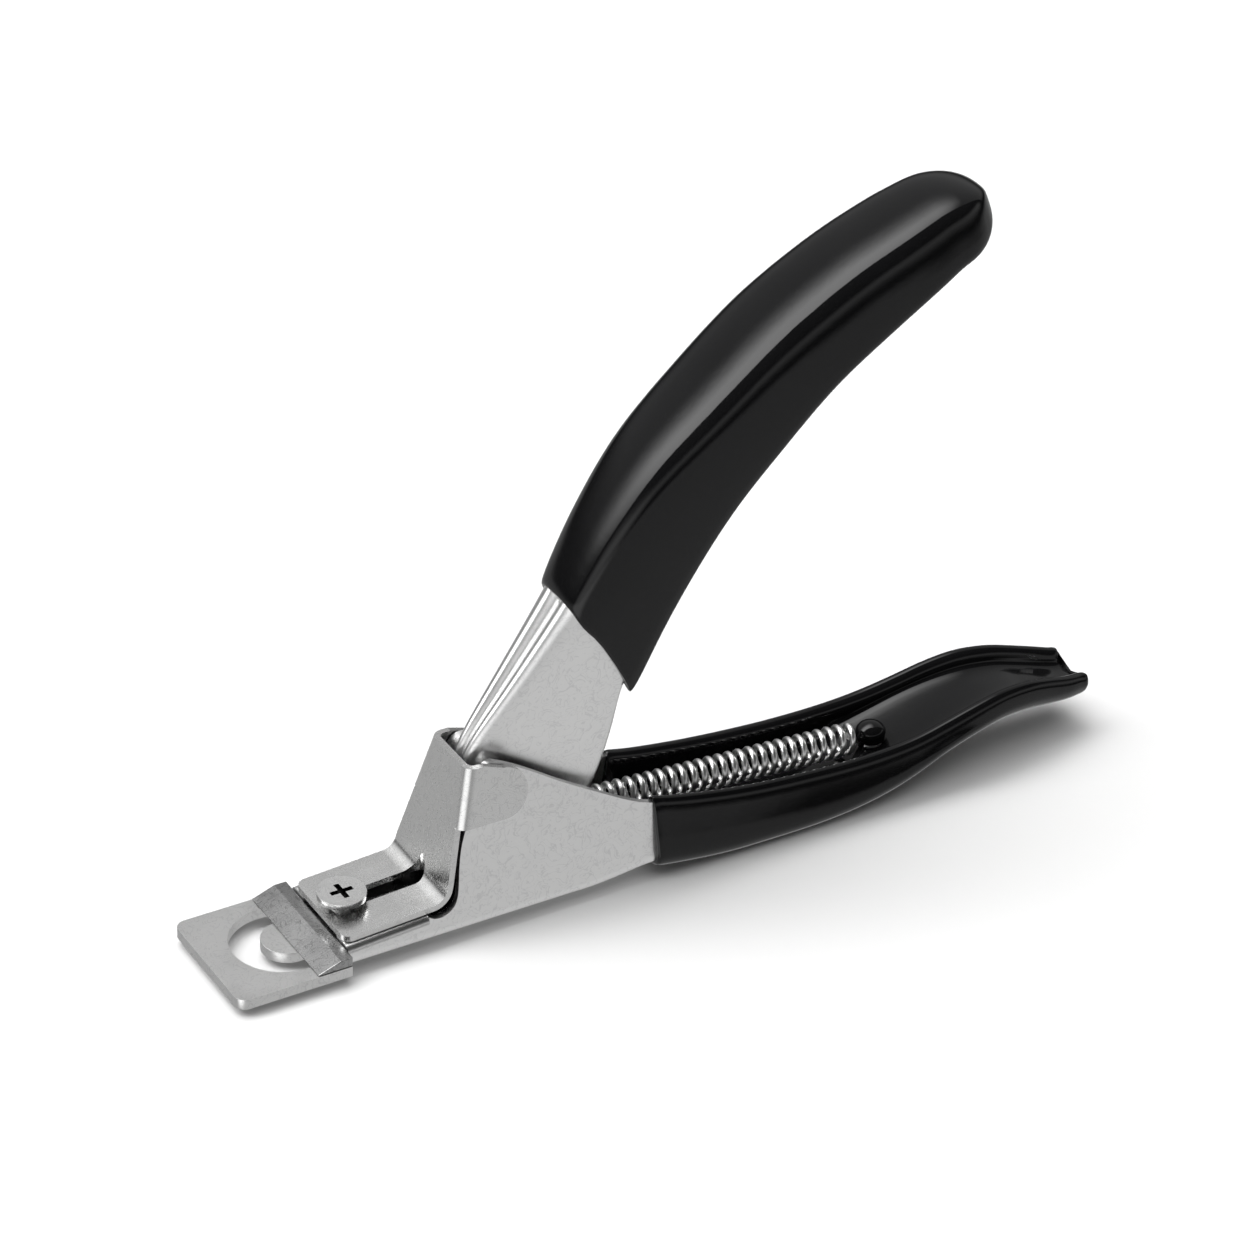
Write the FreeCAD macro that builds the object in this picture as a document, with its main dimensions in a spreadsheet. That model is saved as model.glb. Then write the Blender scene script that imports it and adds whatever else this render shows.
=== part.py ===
import FreeCAD, Part
import math
import os

# Guillotine nail clipper, in millimetres.
# Each piece is drawn with x measured back from the nose and z measured up from the top of the
# ring plate.  Its Placement then puts it in the object's frame: the origin in the middle of the
# flat belly that the tool rests on, X toward the handle ends, Z up.

Vector = FreeCAD.Vector
document = FreeCAD.newDocument("nail_clipper")
sheet = document.addObject("Spreadsheet::Sheet", "dimensions")

driving_dimensions = [
    ("ring_width", 20.0),
    ("ring_length", 17.1),
    ("ring_gauge", 1.6),
    ("ring_corner", 1.6),
    ("claw_hole_radius", 7.5),
    ("claw_hole_centre", 11.65),
    ("tongue_radius", 3.7),
    ("tongue_centre", 12.3),
    ("tang_width", 11.0),
    ("tang_gauge", 1.15),
    ("sheet_gauge", 0.9),
    ("coating_gauge", 0.9),
    ("channel_half_width", 8.75),
    ("wall_lean", 0.19),
    ("channel_bottom", -1.25),
    ("channel_front", 17.3),
    ("cover_gauge", 0.87),
    ("cover_half_width", 7.4),
    ("ear_gap", 0.15),
    ("slot_width", 3.3),
    ("screw_centre", 20.6),
    ("screw_head_radius", 3.45),
    ("blade_edge", 11.95),
    ("blade_bevel", 3.4),
    ("blade_height", 1.33),
    ("shank_height", 0.8),
    ("blade_gap", 0.05),
    ("stroke", 8.4),
    ("pivot_distance", 42.0),
    ("pivot_height", 18.5),
    ("pivot_radius", 2.0),
    ("crank_radius", 13.0),
    ("crank_angle", 20.0),
    ("drive_pin_radius", 1.5),
    ("spring_radius", 2.45),
    ("spring_wire", 0.8),
    ("spring_turns", 28),
    ("belly_centre", 87.0),
    ("belly_depth", 2.8),
    ("rivet_radius", 1.1),
]
for row, (alias, value) in enumerate(driving_dimensions, start=1):
    sheet.set("A%d" % row, alias)
    sheet.set("B%d" % row, str(value))
    sheet.setAlias("B%d" % row, alias)
document.recompute()


def size(alias):
    return float(getattr(sheet, alias))


gauge = size("sheet_gauge")
coating = size("coating_gauge")
pivot = (size("pivot_distance"), size("pivot_height"))
crank_angle = math.radians(size("crank_angle"))
drive_pin = (
    pivot[0] + size("crank_radius") * math.sin(crank_angle),
    pivot[1] - size("crank_radius") * math.cos(crank_angle),
)
spring_pin = (51.6, 6.9)
anchor = (106.6, 3.4)
rivet_places = [(25.6, -3.7), (25.6, 3.7)]
blade_rivet_places = [(27.6, -3.4), (27.6, 3.4)]
node_names = []


# ---- drawing helpers ------------------------------------------------------------------------

def side(point):
    return Vector(point[0], 0, point[1])


def straight(points, place=side):
    """Straight edges through these points; points that fall together make no edge."""
    ends = [place(point) for point in points]
    return [Part.makeLine(a, b) for a, b in zip(ends, ends[1:]) if a.distanceToPoint(b) > 1e-6]


def smooth(points, place=side):
    spline = Part.BSplineCurve()
    spline.interpolate([place(point) for point in points])
    return [spline.toShape()]


def side_prism(edges, half_width=20):
    """A solid with this outline seen from the side, as wide as twice half_width."""
    face = Part.Face(Part.Wire(edges))
    solid = face.extrude(Vector(0, 2 * half_width, 0))
    solid.translate(Vector(0, -half_width, 0))
    return solid


def plan_prism(stations, bottom=-10, top=120):
    """A solid with the same half width on both sides of the middle, seen from above."""
    near = [Vector(x, -half, bottom) for x, half in stations]
    far = [Vector(x, half, bottom) for x, half in reversed(stations)]
    edges = []
    for points in (near, far):
        spline = Part.BSplineCurve()
        spline.interpolate(points)
        edges.append(spline.toShape())
    for a, b in ((near[-1], far[0]), (far[-1], near[0])):
        if a.distanceToPoint(b) > 1e-6:
            edges.append(Part.makeLine(a, b))
    outline = Part.Wire(Part.__sortEdges__(edges))
    return Part.Face(outline).extrude(Vector(0, 0, top - bottom))


def leaning_prism(half_width, start=10, end=150):
    """The room between the channel's two walls, which lean in toward the top."""
    low, high = -8, 27
    half_low = half_width - size("wall_lean") * (low + 1)
    half_high = half_width - size("wall_lean") * (high + 1)
    corners = [
        Vector(start, -half_low, low),
        Vector(start, half_low, low),
        Vector(start, half_high, high),
        Vector(start, -half_high, high),
    ]
    return Part.Face(Part.makePolygon(corners + corners[:1])).extrude(Vector(end - start, 0, 0))


def box(x0, x1, half_width, z0, z1):
    return Part.makeBox(x1 - x0, 2 * half_width, z1 - z0, Vector(x0, -half_width, z0))


def shifted(points, distance):
    """The same outline moved square to itself, to its right when it is walked from the start."""
    moved = []
    last = len(points) - 1
    for i, (x, z) in enumerate(points):
        before = points[max(i - 1, 0)]
        after = points[min(i + 1, last)]
        run = after[0] - before[0]
        rise = after[1] - before[1]
        length = math.hypot(run, rise)
        moved.append((x + distance * rise / length, z - distance * run / length))
    return moved


def raised(points, height):
    return [(x, z + height) for x, z in points]


def edges_near(shape, tests):
    """Edges whose middle passes every test in one of the given groups."""
    found = []
    for edge in shape.Edges:
        middle = edge.valueAt((edge.FirstParameter + edge.LastParameter) / 2)
        if any(test(edge, middle) for test in tests):
            found.append(edge)
    return found


def place_in_frame(item):
    item.Placement = FreeCAD.Placement(
        Vector(-size("belly_centre"), 0, size("belly_depth")), FreeCAD.Rotation()
    )
    item.setExpression("Placement.Base.x", "-dimensions.belly_centre")
    item.setExpression("Placement.Base.z", "dimensions.belly_depth")
    node_names.append(item.Name)


def keep_shape(name, shape):
    item = document.addObject("Part::Feature", name)
    item.Label = name
    item.Shape = shape
    place_in_frame(item)
    return item


def origin_plane(body, role):
    return [f for f in body.Origin.OriginFeatures if f.Role == role][0]


def new_sketch(body, name, role="XY_Plane", lift=0.0):
    sketch = body.newObject("Sketcher::SketchObject", name)
    sketch.AttachmentSupport = [(origin_plane(body, role), "")]
    sketch.MapMode = "FlatFace"
    sketch.AttachmentOffset = FreeCAD.Placement(Vector(0, 0, lift), FreeCAD.Rotation())
    return sketch


def draw_loop(sketch, corners):
    ends = [Vector(x, y, 0) for x, y in corners]
    for a, b in zip(ends, ends[1:] + ends[:1]):
        sketch.addGeometry(Part.LineSegment(a, b))


def draw_slot(sketch, start, end, width):
    half = width / 2
    sketch.addGeometry(Part.LineSegment(Vector(start, -half, 0), Vector(end, -half, 0)))
    sketch.addGeometry(Part.Arc(Vector(end, -half, 0), Vector(end + half, 0, 0), Vector(end, half, 0)))
    sketch.addGeometry(Part.LineSegment(Vector(end, half, 0), Vector(start, half, 0)))
    sketch.addGeometry(Part.Arc(Vector(start, half, 0), Vector(start - half, 0, 0), Vector(start, -half, 0)))


def draw_circles(sketch, places, radius):
    for x, y in places:
        sketch.addGeometry(Part.Circle(Vector(x, y, 0), Vector(0, 0, 1), radius))


def pad(body, sketch, length, name, both_ways=False):
    feature = body.newObject("PartDesign::Pad", name)
    feature.Profile = sketch
    feature.setExpression("Length", length)
    feature.Midplane = both_ways
    body.Tip = feature
    sketch.Visibility = False
    return feature


def pocket_through(body, sketch, name):
    feature = body.newObject("PartDesign::Pocket", name)
    feature.Profile = sketch
    feature.Type = "ThroughAll"
    feature.Midplane = True
    body.Tip = feature
    sketch.Visibility = False
    return feature


def new_body(name):
    body = document.addObject("PartDesign::Body", name)
    body.Label = name
    return body


# ---- lower handle ---------------------------------------------------------------------------

belly_flat = [(80.0, -2.8), (94.0, -2.8)]
belly_front = [(66.0, -1.35), (73.0, -2.2), (77.0, -2.7), belly_flat[0]]
belly_rear = [
    belly_flat[1], (97.0, -2.65), (101.0, -1.95), (106.0, -0.75), (112.0, 0.85), (118.0, 2.5),
    (124.0, 3.5), (129.0, 3.35), (134.0, 2.6), (140.5, 1.8),
]
wall_front = [
    (29.8, 2.5), (31.6, 1.95), (33.6, 2.8), (34.7, 6.0), (35.8, 12.0), (37.5, 16.0), (38.7, 19.5),
    (39.9, 21.8), (41.4, 22.2),
]
wall_rim = [
    (41.4, 22.2), (45.6, 20.1), (51.5, 16.4), (57.6, 12.9), (63.8, 9.7), (70.0, 8.0), (76.0, 6.9),
    (82.0, 6.05), (88.0, 5.5), (94.0, 5.15), (100.0, 4.9), (105.0, 4.95), (110.0, 5.4),
    (115.0, 6.35), (120.0, 7.4), (125.0, 8.0), (130.0, 7.7), (134.0, 6.8), (137.5, 5.6),
    (140.5, 4.8),
]
tail_plan = [(112.0, 9.6), (120.0, 8.3), (128.0, 7.0), (134.0, 6.1), (137.6, 4.9), (139.8, 2.6), (140.5, 0.0)]


def lower_floor(height):
    """The underside of the bare channel, raised by this height, from the nose to the tail."""
    nose = raised([(size("channel_front") - 0.5, size("channel_bottom")), (53.0, size("channel_bottom"))], height)
    dip = raised([(60.0, -0.95), (66.0, -0.5), (73.0, -1.25), (77.0, -1.75)], height)
    flat = raised(belly_flat, height + coating)
    rear = raised(belly_rear, height + coating)
    return straight(nose) + smooth(nose[1:] + dip + flat[:1]) + straight(flat) + smooth(rear)


def tail_room(inset, open_end=False):
    """Plan of the rounded tail; the inside of the channel runs out through its end."""
    stations = [(10.0, 15.0), (60.0, 14.5), (90.0, 12.5)]
    if open_end:
        walls = [(x, half - inset) for x, half in tail_plan if half > 4]
        return plan_prism(stations + walls + [(142.0, walls[-1][1])])
    walls = [(x - inset * (x > 137), max(half - inset, 0.0)) for x, half in tail_plan]
    return plan_prism(stations + walls)


def closed(floor_edges, top_edges):
    """Joins a floor line and a top line, both drawn nose to tail, into one outline."""
    floor_start = floor_edges[0].valueAt(floor_edges[0].FirstParameter)
    floor_end = floor_edges[-1].valueAt(floor_edges[-1].LastParameter)
    top_start = top_edges[0].valueAt(top_edges[0].FirstParameter)
    top_end = top_edges[-1].valueAt(top_edges[-1].LastParameter)
    sides = [Part.makeLine(floor_start, top_start), Part.makeLine(floor_end, top_end)]
    return Part.__sortEdges__(floor_edges + top_edges + sides)


def lower_channel_room(inset, floor_height, start, opening=26.5):
    """What is taken out of the lower handle or its grip to leave a channel."""
    room = side_prism(closed(lower_floor(floor_height), straight([(17.0, opening), (140.5, opening)])))
    room = room.common(leaning_prism(size("channel_half_width") - inset, start=start, end=142))
    return room.common(tail_room(inset + coating, open_end=True))


nose_top = [(size("channel_front"), 1.85), wall_front[0]]


def make_lower_handle():
    top = straight([(size("channel_front") - 0.5, 1.82)] + nose_top) + smooth(wall_front) + smooth(wall_rim)
    solid = side_prism(closed(lower_floor(0), top))
    solid = solid.common(leaning_prism(size("channel_half_width"), start=size("channel_front"), end=139.6))
    solid = solid.common(tail_room(coating))
    solid = solid.makeFillet(1.3, edges_near(solid, [
        lambda edge, middle: abs(middle.y) > 5 and middle.z < 0.3 and edge.Length > 12,
    ]))
    nose_end = wall_front[0][0]
    nose = solid.common(box(10, nose_end, 20, -10, 30))
    nose = nose.makeFillet(1.3, edges_near(nose, [
        lambda edge, middle: abs(middle.y) > 6 and 1.8 < middle.z < 2.6 and edge.Length > 8,
    ]))
    solid = nose.fuse(solid.common(box(nose_end, 150, 20, -10, 30))).removeSplitter()
    rear_room = lower_channel_room(0.92, gauge, 30.4)
    floor = size("channel_bottom") + gauge
    nose_room = leaning_prism(size("channel_half_width") - 0.92, start=17.0, end=31.0)
    under_flanges = side_prism(Part.__sortEdges__(straight(
        [(17.0, floor), (31.0, floor), (31.0, 1.6), (17.0, 0.95), (17.0, floor)])))
    solid = solid.cut(rear_room)
    solid = solid.cut(nose_room.common(under_flanges))
    solid = solid.cut(box(17.0, 31.0, 4.9, floor, 6.0))
    screw_hole = Part.makeCylinder(1.2, 6, Vector(size("screw_centre"), 0, -4))
    solid = solid.cut(screw_hole)
    for x, y in rivet_places:
        solid = solid.cut(Part.makeCylinder(size("rivet_radius"), 6, Vector(x, y, -4)))
    pivot_bore = Part.makeCylinder(size("pivot_radius"), 40, Vector(pivot[0], -20, pivot[1]), Vector(0, 1, 0))
    solid = solid.cut(pivot_bore)
    anchor_bore = Part.makeCylinder(1.0, 20, Vector(anchor[0], 0, -8))
    return solid.cut(anchor_bore)


def make_lower_grip(handle):
    rim = raised([point for point in wall_rim if point[0] > 62], coating)
    floor = smooth(belly_front) + straight(belly_flat) + smooth(belly_rear)
    top = smooth(rim)
    solid = side_prism(closed(floor, top))
    solid = solid.common(leaning_prism(size("channel_half_width") + coating, start=65.6, end=140.5))
    solid = solid.common(tail_room(0))
    solid = solid.cut(lower_channel_room(0.92 + coating, gauge + coating, 60))
    solid = solid.cut(handle)
    return solid.cut(Part.makeCylinder(1.0, 20, Vector(anchor[0], 0, -8)))


# ---- upper handle ---------------------------------------------------------------------------

spine_bare = [(38.9, 22.1), (53.7, 42.6)]
spine = [
    spine_bare[1], (58.7, 51.1), (65.4, 61.0), (74.4, 69.8), (84.1, 77.5), (94.1, 83.4),
    (103.1, 87.1), (109.9, 89.2), (114.5, 89.4), (116.9, 87.2),
]
upper_rim = [
    (61.5, 28.6), (63.6, 34.9), (67.4, 41.3), (72.7, 50.3), (79.7, 59.5), (87.4, 67.8),
    (95.3, 73.8), (103.3, 78.7), (109.6, 82.8), (114.0, 85.4), (116.9, 87.2),
]
lobe_radius = 2.8
upper_plan = [
    (38.2, 1.6), (39.2, 2.65), (42.0, 2.98), (48.0, 3.5), (54.0, 4.15), (62.0, 5.3), (72.0, 6.8),
    (85.0, 7.8), (96.0, 7.8), (105.0, 7.0), (111.0, 5.6), (115.2, 3.3), (117.2, 0.0),
]
grip_mouth = [
    (50.0, 47.0), (53.2, 43.8), (55.2, 41.2), (56.7, 38.4), (58.7, 35.2), (60.4, 32.6), (61.3, 29.8), (63.2, 27.0),
]


def upper_outline(growth):
    """Side view of the upper handle, grown by this much over the spine, the rim and the end."""
    back = shifted(spine, -growth)
    under = shifted(upper_rim, growth)
    tip = (back[-1][0] * 0.5 + under[-1][0] * 0.5 + growth, 87.1 - 0.2 * growth)
    lobe_front = (drive_pin[0] - lobe_radius, drive_pin[1])
    lobe_rear = (drive_pin[0] + lobe_radius, drive_pin[1] + 0.4)
    lobe = Part.Arc(
        side(lobe_front), side((drive_pin[0], drive_pin[1] - lobe_radius)), side(lobe_rear)
    ).toShape()
    front = [lobe_front, (40.6, 12.0), (38.8, 16.0), (38.3, 19.6), spine_bare[0]]
    rear = [lobe_rear, (53.5, 9.2), (57.4, 12.4), (58.7, 16.2), upper_rim[0]]
    edges = smooth(front) + straight([spine_bare[0], back[0]]) + smooth(back[:-1] + [tip])
    edges += smooth(under[:-1] + [tip]) + straight([upper_rim[0], under[0]]) + smooth(rear) + [lobe]
    return edges


def upper_solid(growth):
    stations = [(x, half + growth) for x, half in upper_plan[:-1]]
    stations += [(upper_plan[-1][0] + growth, 0.0)]
    return side_prism(Part.__sortEdges__(upper_outline(growth))).common(plan_prism(stations, -5, 120))


def upper_room(inset, spine_inset):
    """The inside of the upper channel, open along its underside."""
    back = shifted(spine[:-1], spine_inset)
    start = shifted(spine_bare, spine_inset)[0]
    under = [(120.0, 60.0), (120.0, 0.0), (start[0], 0.0), start, back[0]]
    room = side_prism(Part.__sortEdges__(smooth(back) + straight([back[-1]] + under)))
    stations = [(x, half - inset) for x, half in upper_plan[:-2]]
    stations[0] = (39.4, 0.9)
    return room.common(plan_prism(stations + [(115.6, 0.9)], -5, 120))


def make_upper_handle():
    solid = upper_solid(0)
    solid = solid.cut(upper_room(gauge, gauge))
    rise = math.atan2(spine_bare[1][1] - spine_bare[0][1], spine_bare[1][0] - spine_bare[0][0])
    groove = Part.makeCone(0.45, 2.3, 32, Vector(0, 0, 0), Vector(1, 0, 0))
    groove.rotate(Vector(0, 0, 0), Vector(0, 1, 0), -math.degrees(rise))
    groove.translate(side((spine_bare[0][0] - 1.9, spine_bare[0][1] + 0.9)))
    solid = solid.cut(groove)
    pivot_bore = Part.makeCylinder(
        size("pivot_radius") + 0.05, 40, Vector(pivot[0], -20, pivot[1]), Vector(0, 1, 0))
    pin_bore = Part.makeCylinder(
        size("drive_pin_radius"), 40, Vector(drive_pin[0], -20, drive_pin[1]), Vector(0, 1, 0))
    return solid.cut(pivot_bore).cut(pin_bore)


def make_upper_grip(handle):
    beyond = side_prism(Part.__sortEdges__(
        smooth(grip_mouth) + straight([grip_mouth[-1], (125.0, 27.0), (125.0, 100.0), (50.0, 100.0), grip_mouth[0]])))
    solid = upper_solid(coating).common(beyond)
    solid = solid.cut(upper_room(gauge + coating, gauge + coating))
    return solid.cut(handle)


# ---- slide cover with its collar and ears ------------------------------------------------------

cover_rise = 0.0577
incline_lean = 0.2303


def cover_top(x):
    return 2.8 + cover_rise * (x - 17.25)


def incline_face(z):
    return 32.7 + incline_lean * (z - 4.5)


def collar_block(depth, half_width, corner):
    """The room behind the incline and between the ears, with its two front edges rounded."""
    low, high = 8.0, 26.0
    front = [(incline_face(z) + depth, z) for z in (low, high)]
    block = side_prism(straight(front + [(60.0, high), (60.0, low), front[0]]))
    block = block.common(leaning_prism(half_width, end=60))
    return block.makeFillet(corner, edges_near(block, [
        lambda edge, middle: abs(middle.x - incline_face(middle.z) - depth) < 0.01
        and abs(middle.y) > 2 and edge.Length > 10,
    ]))


def make_slide_cover():
    thick = size("cover_gauge")
    back_step = thick * math.hypot(1, incline_lean)
    corner_x = (32.7 + incline_lean * (2.8 - 17.25 * cover_rise - 4.5)) / (1 - incline_lean * cover_rise)
    inner_x = corner_x + 0.70
    collar_top = 22.6
    outline = [
        (17.25, cover_top(17.25) - thick),
        (inner_x, cover_top(inner_x) - thick),
        (incline_face(collar_top) + back_step, collar_top),
        (incline_face(collar_top), collar_top),
        (corner_x, cover_top(corner_x)),
        (17.25, cover_top(17.25)),
    ]
    plate = side_prism(straight(outline + outline[:1]))
    bend_edges = edges_near(plate, [
        lambda edge, middle: abs(middle.x - corner_x) < 0.05 and edge.Length > 30,
    ])
    plate = plate.makeFillet(2.2, bend_edges)
    bend_edges = edges_near(plate, [
        lambda edge, middle: abs(middle.x - inner_x) < 0.05 and edge.Length > 30,
    ])
    plate = plate.makeFillet(2.2 + thick, bend_edges)
    half = size("channel_half_width")
    lean = size("wall_lean")
    ear_low = 14.1
    half_width = [(size("cover_half_width"), -5.0), (size("cover_half_width"), 4.8)]
    half_width += [(half - 0.1 - lean * (z + 1), z) for z in (6.0, ear_low)]
    outline = [Vector(10, y, z) for y, z in half_width]
    outline += [Vector(10, -y, z) for y, z in reversed(half_width)]
    plate = plate.common(Part.Face(Part.makePolygon(outline + outline[:1])).extrude(Vector(40, 0, 0)))
    ear_inner = half + size("ear_gap")
    collar = collar_block(0.0, ear_inner + thick, 1.7).cut(collar_block(back_step, ear_inner, 0.85))
    ear_arc = Part.Arc(side((41.6, ear_low)), side((45.9, 17.9)), side((42.4, 21.6))).toShape()
    ear_edges = straight([(30.0, ear_low), (41.6, ear_low)]) + [ear_arc]
    ear_edges += straight([(42.4, 21.6), (39.6, collar_top), (30.0, collar_top), (30.0, ear_low)])
    collar = collar.common(side_prism(Part.__sortEdges__(ear_edges)))
    solid = plate.fuse(collar).removeSplitter()
    nose_corners = edges_near(solid, [
        lambda edge, middle: abs(middle.x - 17.25) < 0.01 and abs(middle.y) > 7 and edge.Length < 1,
    ])
    solid = solid.makeFillet(1.4, nose_corners)
    start = size("screw_centre")
    half_slot = size("slot_width") / 2
    slot = box(start, 31.6, half_slot, 0, 8)
    slot = slot.fuse(Part.makeCylinder(half_slot, 8, Vector(start, 0, 0)))
    slot = slot.fuse(Part.makeCylinder(half_slot, 8, Vector(31.6, 0, 0)))
    return solid.cut(slot)


lower_handle_shape = make_lower_handle()
upper_handle_shape = make_upper_handle()
keep_shape("lower_handle", lower_handle_shape)
keep_shape("lower_grip", make_lower_grip(lower_handle_shape))
keep_shape("upper_handle", upper_handle_shape)
keep_shape("upper_grip", make_upper_grip(upper_handle_shape))
keep_shape("slide_cover", make_slide_cover())


# ---- ring plate -----------------------------------------------------------------------------

def make_ring_plate():
    body = new_body("ring_plate")
    half = size("ring_width") / 2
    length = size("ring_length")
    corner = size("ring_corner")
    sketch = new_sketch(body, "ring_outline", lift=-size("ring_gauge"))
    cut = corner * (1 - math.sqrt(0.5))
    sketch.addGeometry(Part.LineSegment(Vector(corner, -half, 0), Vector(length, -half, 0)))
    sketch.addGeometry(Part.LineSegment(Vector(length, -half, 0), Vector(length, half, 0)))
    sketch.addGeometry(Part.LineSegment(Vector(length, half, 0), Vector(corner, half, 0)))
    sketch.addGeometry(Part.Arc(Vector(corner, half, 0), Vector(cut, half - cut, 0), Vector(0, half - corner, 0)))
    sketch.addGeometry(Part.LineSegment(Vector(0, half - corner, 0), Vector(0, corner - half, 0)))
    sketch.addGeometry(Part.Arc(Vector(0, corner - half, 0), Vector(cut, cut - half, 0), Vector(corner, -half, 0)))
    centre = size("claw_hole_centre")
    radius = size("claw_hole_radius")
    tongue = size("tongue_radius")
    tongue_centre = size("tongue_centre")
    back = tongue_centre + 1.3
    side_y = math.sqrt(radius ** 2 - (back - centre) ** 2)
    sketch.addGeometry(Part.Arc(Vector(back, side_y, 0), Vector(centre - radius, 0, 0), Vector(back, -side_y, 0)))
    sketch.addGeometry(Part.LineSegment(Vector(back, -side_y, 0), Vector(back, -tongue, 0)))
    sketch.addGeometry(Part.LineSegment(Vector(back, -tongue, 0), Vector(tongue_centre, -tongue, 0)))
    sketch.addGeometry(Part.Arc(
        Vector(tongue_centre, -tongue, 0), Vector(tongue_centre - tongue, 0, 0), Vector(tongue_centre, tongue, 0)))
    sketch.addGeometry(Part.LineSegment(Vector(tongue_centre, tongue, 0), Vector(back, tongue, 0)))
    sketch.addGeometry(Part.LineSegment(Vector(back, tongue, 0), Vector(back, side_y, 0)))
    pad(body, sketch, "dimensions.ring_gauge", "ring")
    tang = new_sketch(body, "tang_outline", lift=size("channel_bottom") - size("tang_gauge"))
    half_tang = size("tang_width") / 2
    draw_loop(tang, [(14.4, -half_tang), (30.0, -half_tang), (30.0, half_tang), (14.4, half_tang)])
    pad(body, tang, "dimensions.tang_gauge", "tang")
    holes = new_sketch(body, "fixing_holes")
    draw_circles(holes, [(size("screw_centre"), 0)], 1.2)
    draw_circles(holes, rivet_places, size("rivet_radius"))
    pocket_through(body, holes, "fixings")
    place_in_frame(body)


# ---- blade ----------------------------------------------------------------------------------

def make_blade():
    body = new_body("blade")
    edge = size("blade_edge")
    ridge = edge + size("blade_bevel")
    low = size("blade_gap")
    shank = low + size("shank_height")
    bar = new_sketch(body, "bar_profile", "XZ_Plane")
    draw_loop(bar, [
        (edge, low), (17.15, low), (17.15, low + size("blade_height")),
        (ridge, low + size("blade_height")), (edge, low + 0.12),
    ])
    pad(body, bar, "dimensions.ring_width - 0.2", "bar", both_ways=True)
    tail = new_sketch(body, "shank_profile", "XZ_Plane")
    draw_loop(tail, [(17.0, low), (36.0, low), (36.0, shank), (17.0, shank)])
    pad(body, tail, "2 * (dimensions.channel_half_width - 1.75)", "shank", both_ways=True)
    openings = new_sketch(body, "shank_openings")
    draw_slot(openings, size("screw_centre"), size("screw_centre") + size("stroke") + 0.2, size("slot_width"))
    draw_circles(openings, [(x, y) for x, y in blade_rivet_places], size("rivet_radius"))
    pocket_through(body, openings, "openings")
    place_in_frame(body)


# ---- slide bar with the fork ------------------------------------------------------------------

def make_slide_bar():
    body = new_body("slide_bar")
    low = size("blade_gap") + size("shank_height")
    deck = 1.9
    thick = size("cover_gauge")
    start, step = 19.0, 29.4
    base = new_sketch(body, "deck_profile", "XZ_Plane")
    draw_loop(base, [
        (start, low), (54.0, low), (54.0, deck), (step, deck),
        (step, cover_top(step) - thick), (start, cover_top(start) - thick),
    ])
    pad(body, base, "2 * 4.6", "deck", both_ways=True)
    slack = 0.3
    slot_half = size("drive_pin_radius") + slack
    slot_low = pivot[1] - size("crank_radius") - size("drive_pin_radius") - slack
    prong = 1.3
    fork = new_sketch(body, "fork_profile", "XZ_Plane")
    front, rear = drive_pin[0] - slot_half, drive_pin[0] + slot_half
    top = drive_pin[1] + 3.2
    draw_loop(fork, [
        (front - prong, deck - 0.4), (54.0, deck - 0.4), (54.0, spring_pin[1] + 1.6),
        (rear + prong, top), (rear, top), (rear, slot_low), (front, slot_low), (front, top), (front - prong, top),
    ])
    pad(body, fork, "3.7", "fork", both_ways=True)
    split = new_sketch(body, "fork_split")
    draw_loop(split, [(43.0, -0.95), (56.0, -0.95), (56.0, 0.95), (43.0, 0.95)])
    gap = body.newObject("PartDesign::Pocket", "split")
    gap.Profile = split
    gap.Length = 20
    gap.Reversed = True
    split.AttachmentOffset = FreeCAD.Placement(Vector(0, 0, deck), FreeCAD.Rotation())
    body.Tip = gap
    split.Visibility = False
    openings = new_sketch(body, "deck_openings")
    draw_slot(openings, size("screw_centre"), size("screw_centre") + size("stroke") + 0.2, size("slot_width"))
    draw_circles(openings, blade_rivet_places, size("rivet_radius"))
    pocket_through(body, openings, "openings")
    eye = new_sketch(body, "spring_pin_eye", "XZ_Plane")
    draw_circles(eye, [spring_pin], 0.8)
    pocket_through(body, eye, "eye")
    place_in_frame(body)


make_ring_plate()
make_blade()
make_slide_bar()
document.recompute()


# ---- screw, bush, pins and rivets ---------------------------------------------------------------

def part_box(name, corner, lengths):
    item = document.addObject("Part::Box", name)
    item.Length, item.Width, item.Height = lengths
    item.Placement.Base = Vector(*corner)
    return item


def part_cylinder(name, radius, height, base, across=False):
    item = document.addObject("Part::Cylinder", name)
    if isinstance(radius, str):
        item.setExpression("Radius", radius)
    else:
        item.Radius = radius
    item.Height = height
    turn = FreeCAD.Rotation(Vector(1, 0, 0), -90) if across else FreeCAD.Rotation()
    item.Placement = FreeCAD.Placement(Vector(*base), turn)
    return item


def joined(name, pieces):
    item = document.addObject("Part::MultiFuse", name)
    item.Shapes = pieces
    return item


def cross_pin(name, centre, radius, half_length):
    """A plain pin across the tool; its length runs along Y."""
    stock = part_cylinder(name + "_stock", radius, 2 * half_length, (centre[0], -half_length, centre[1]), True)
    pin = joined(name, [stock, part_cylinder(name + "_core", radius, half_length, (centre[0], 0, centre[1]), True)])
    pin.Label = name
    place_in_frame(pin)


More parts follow.
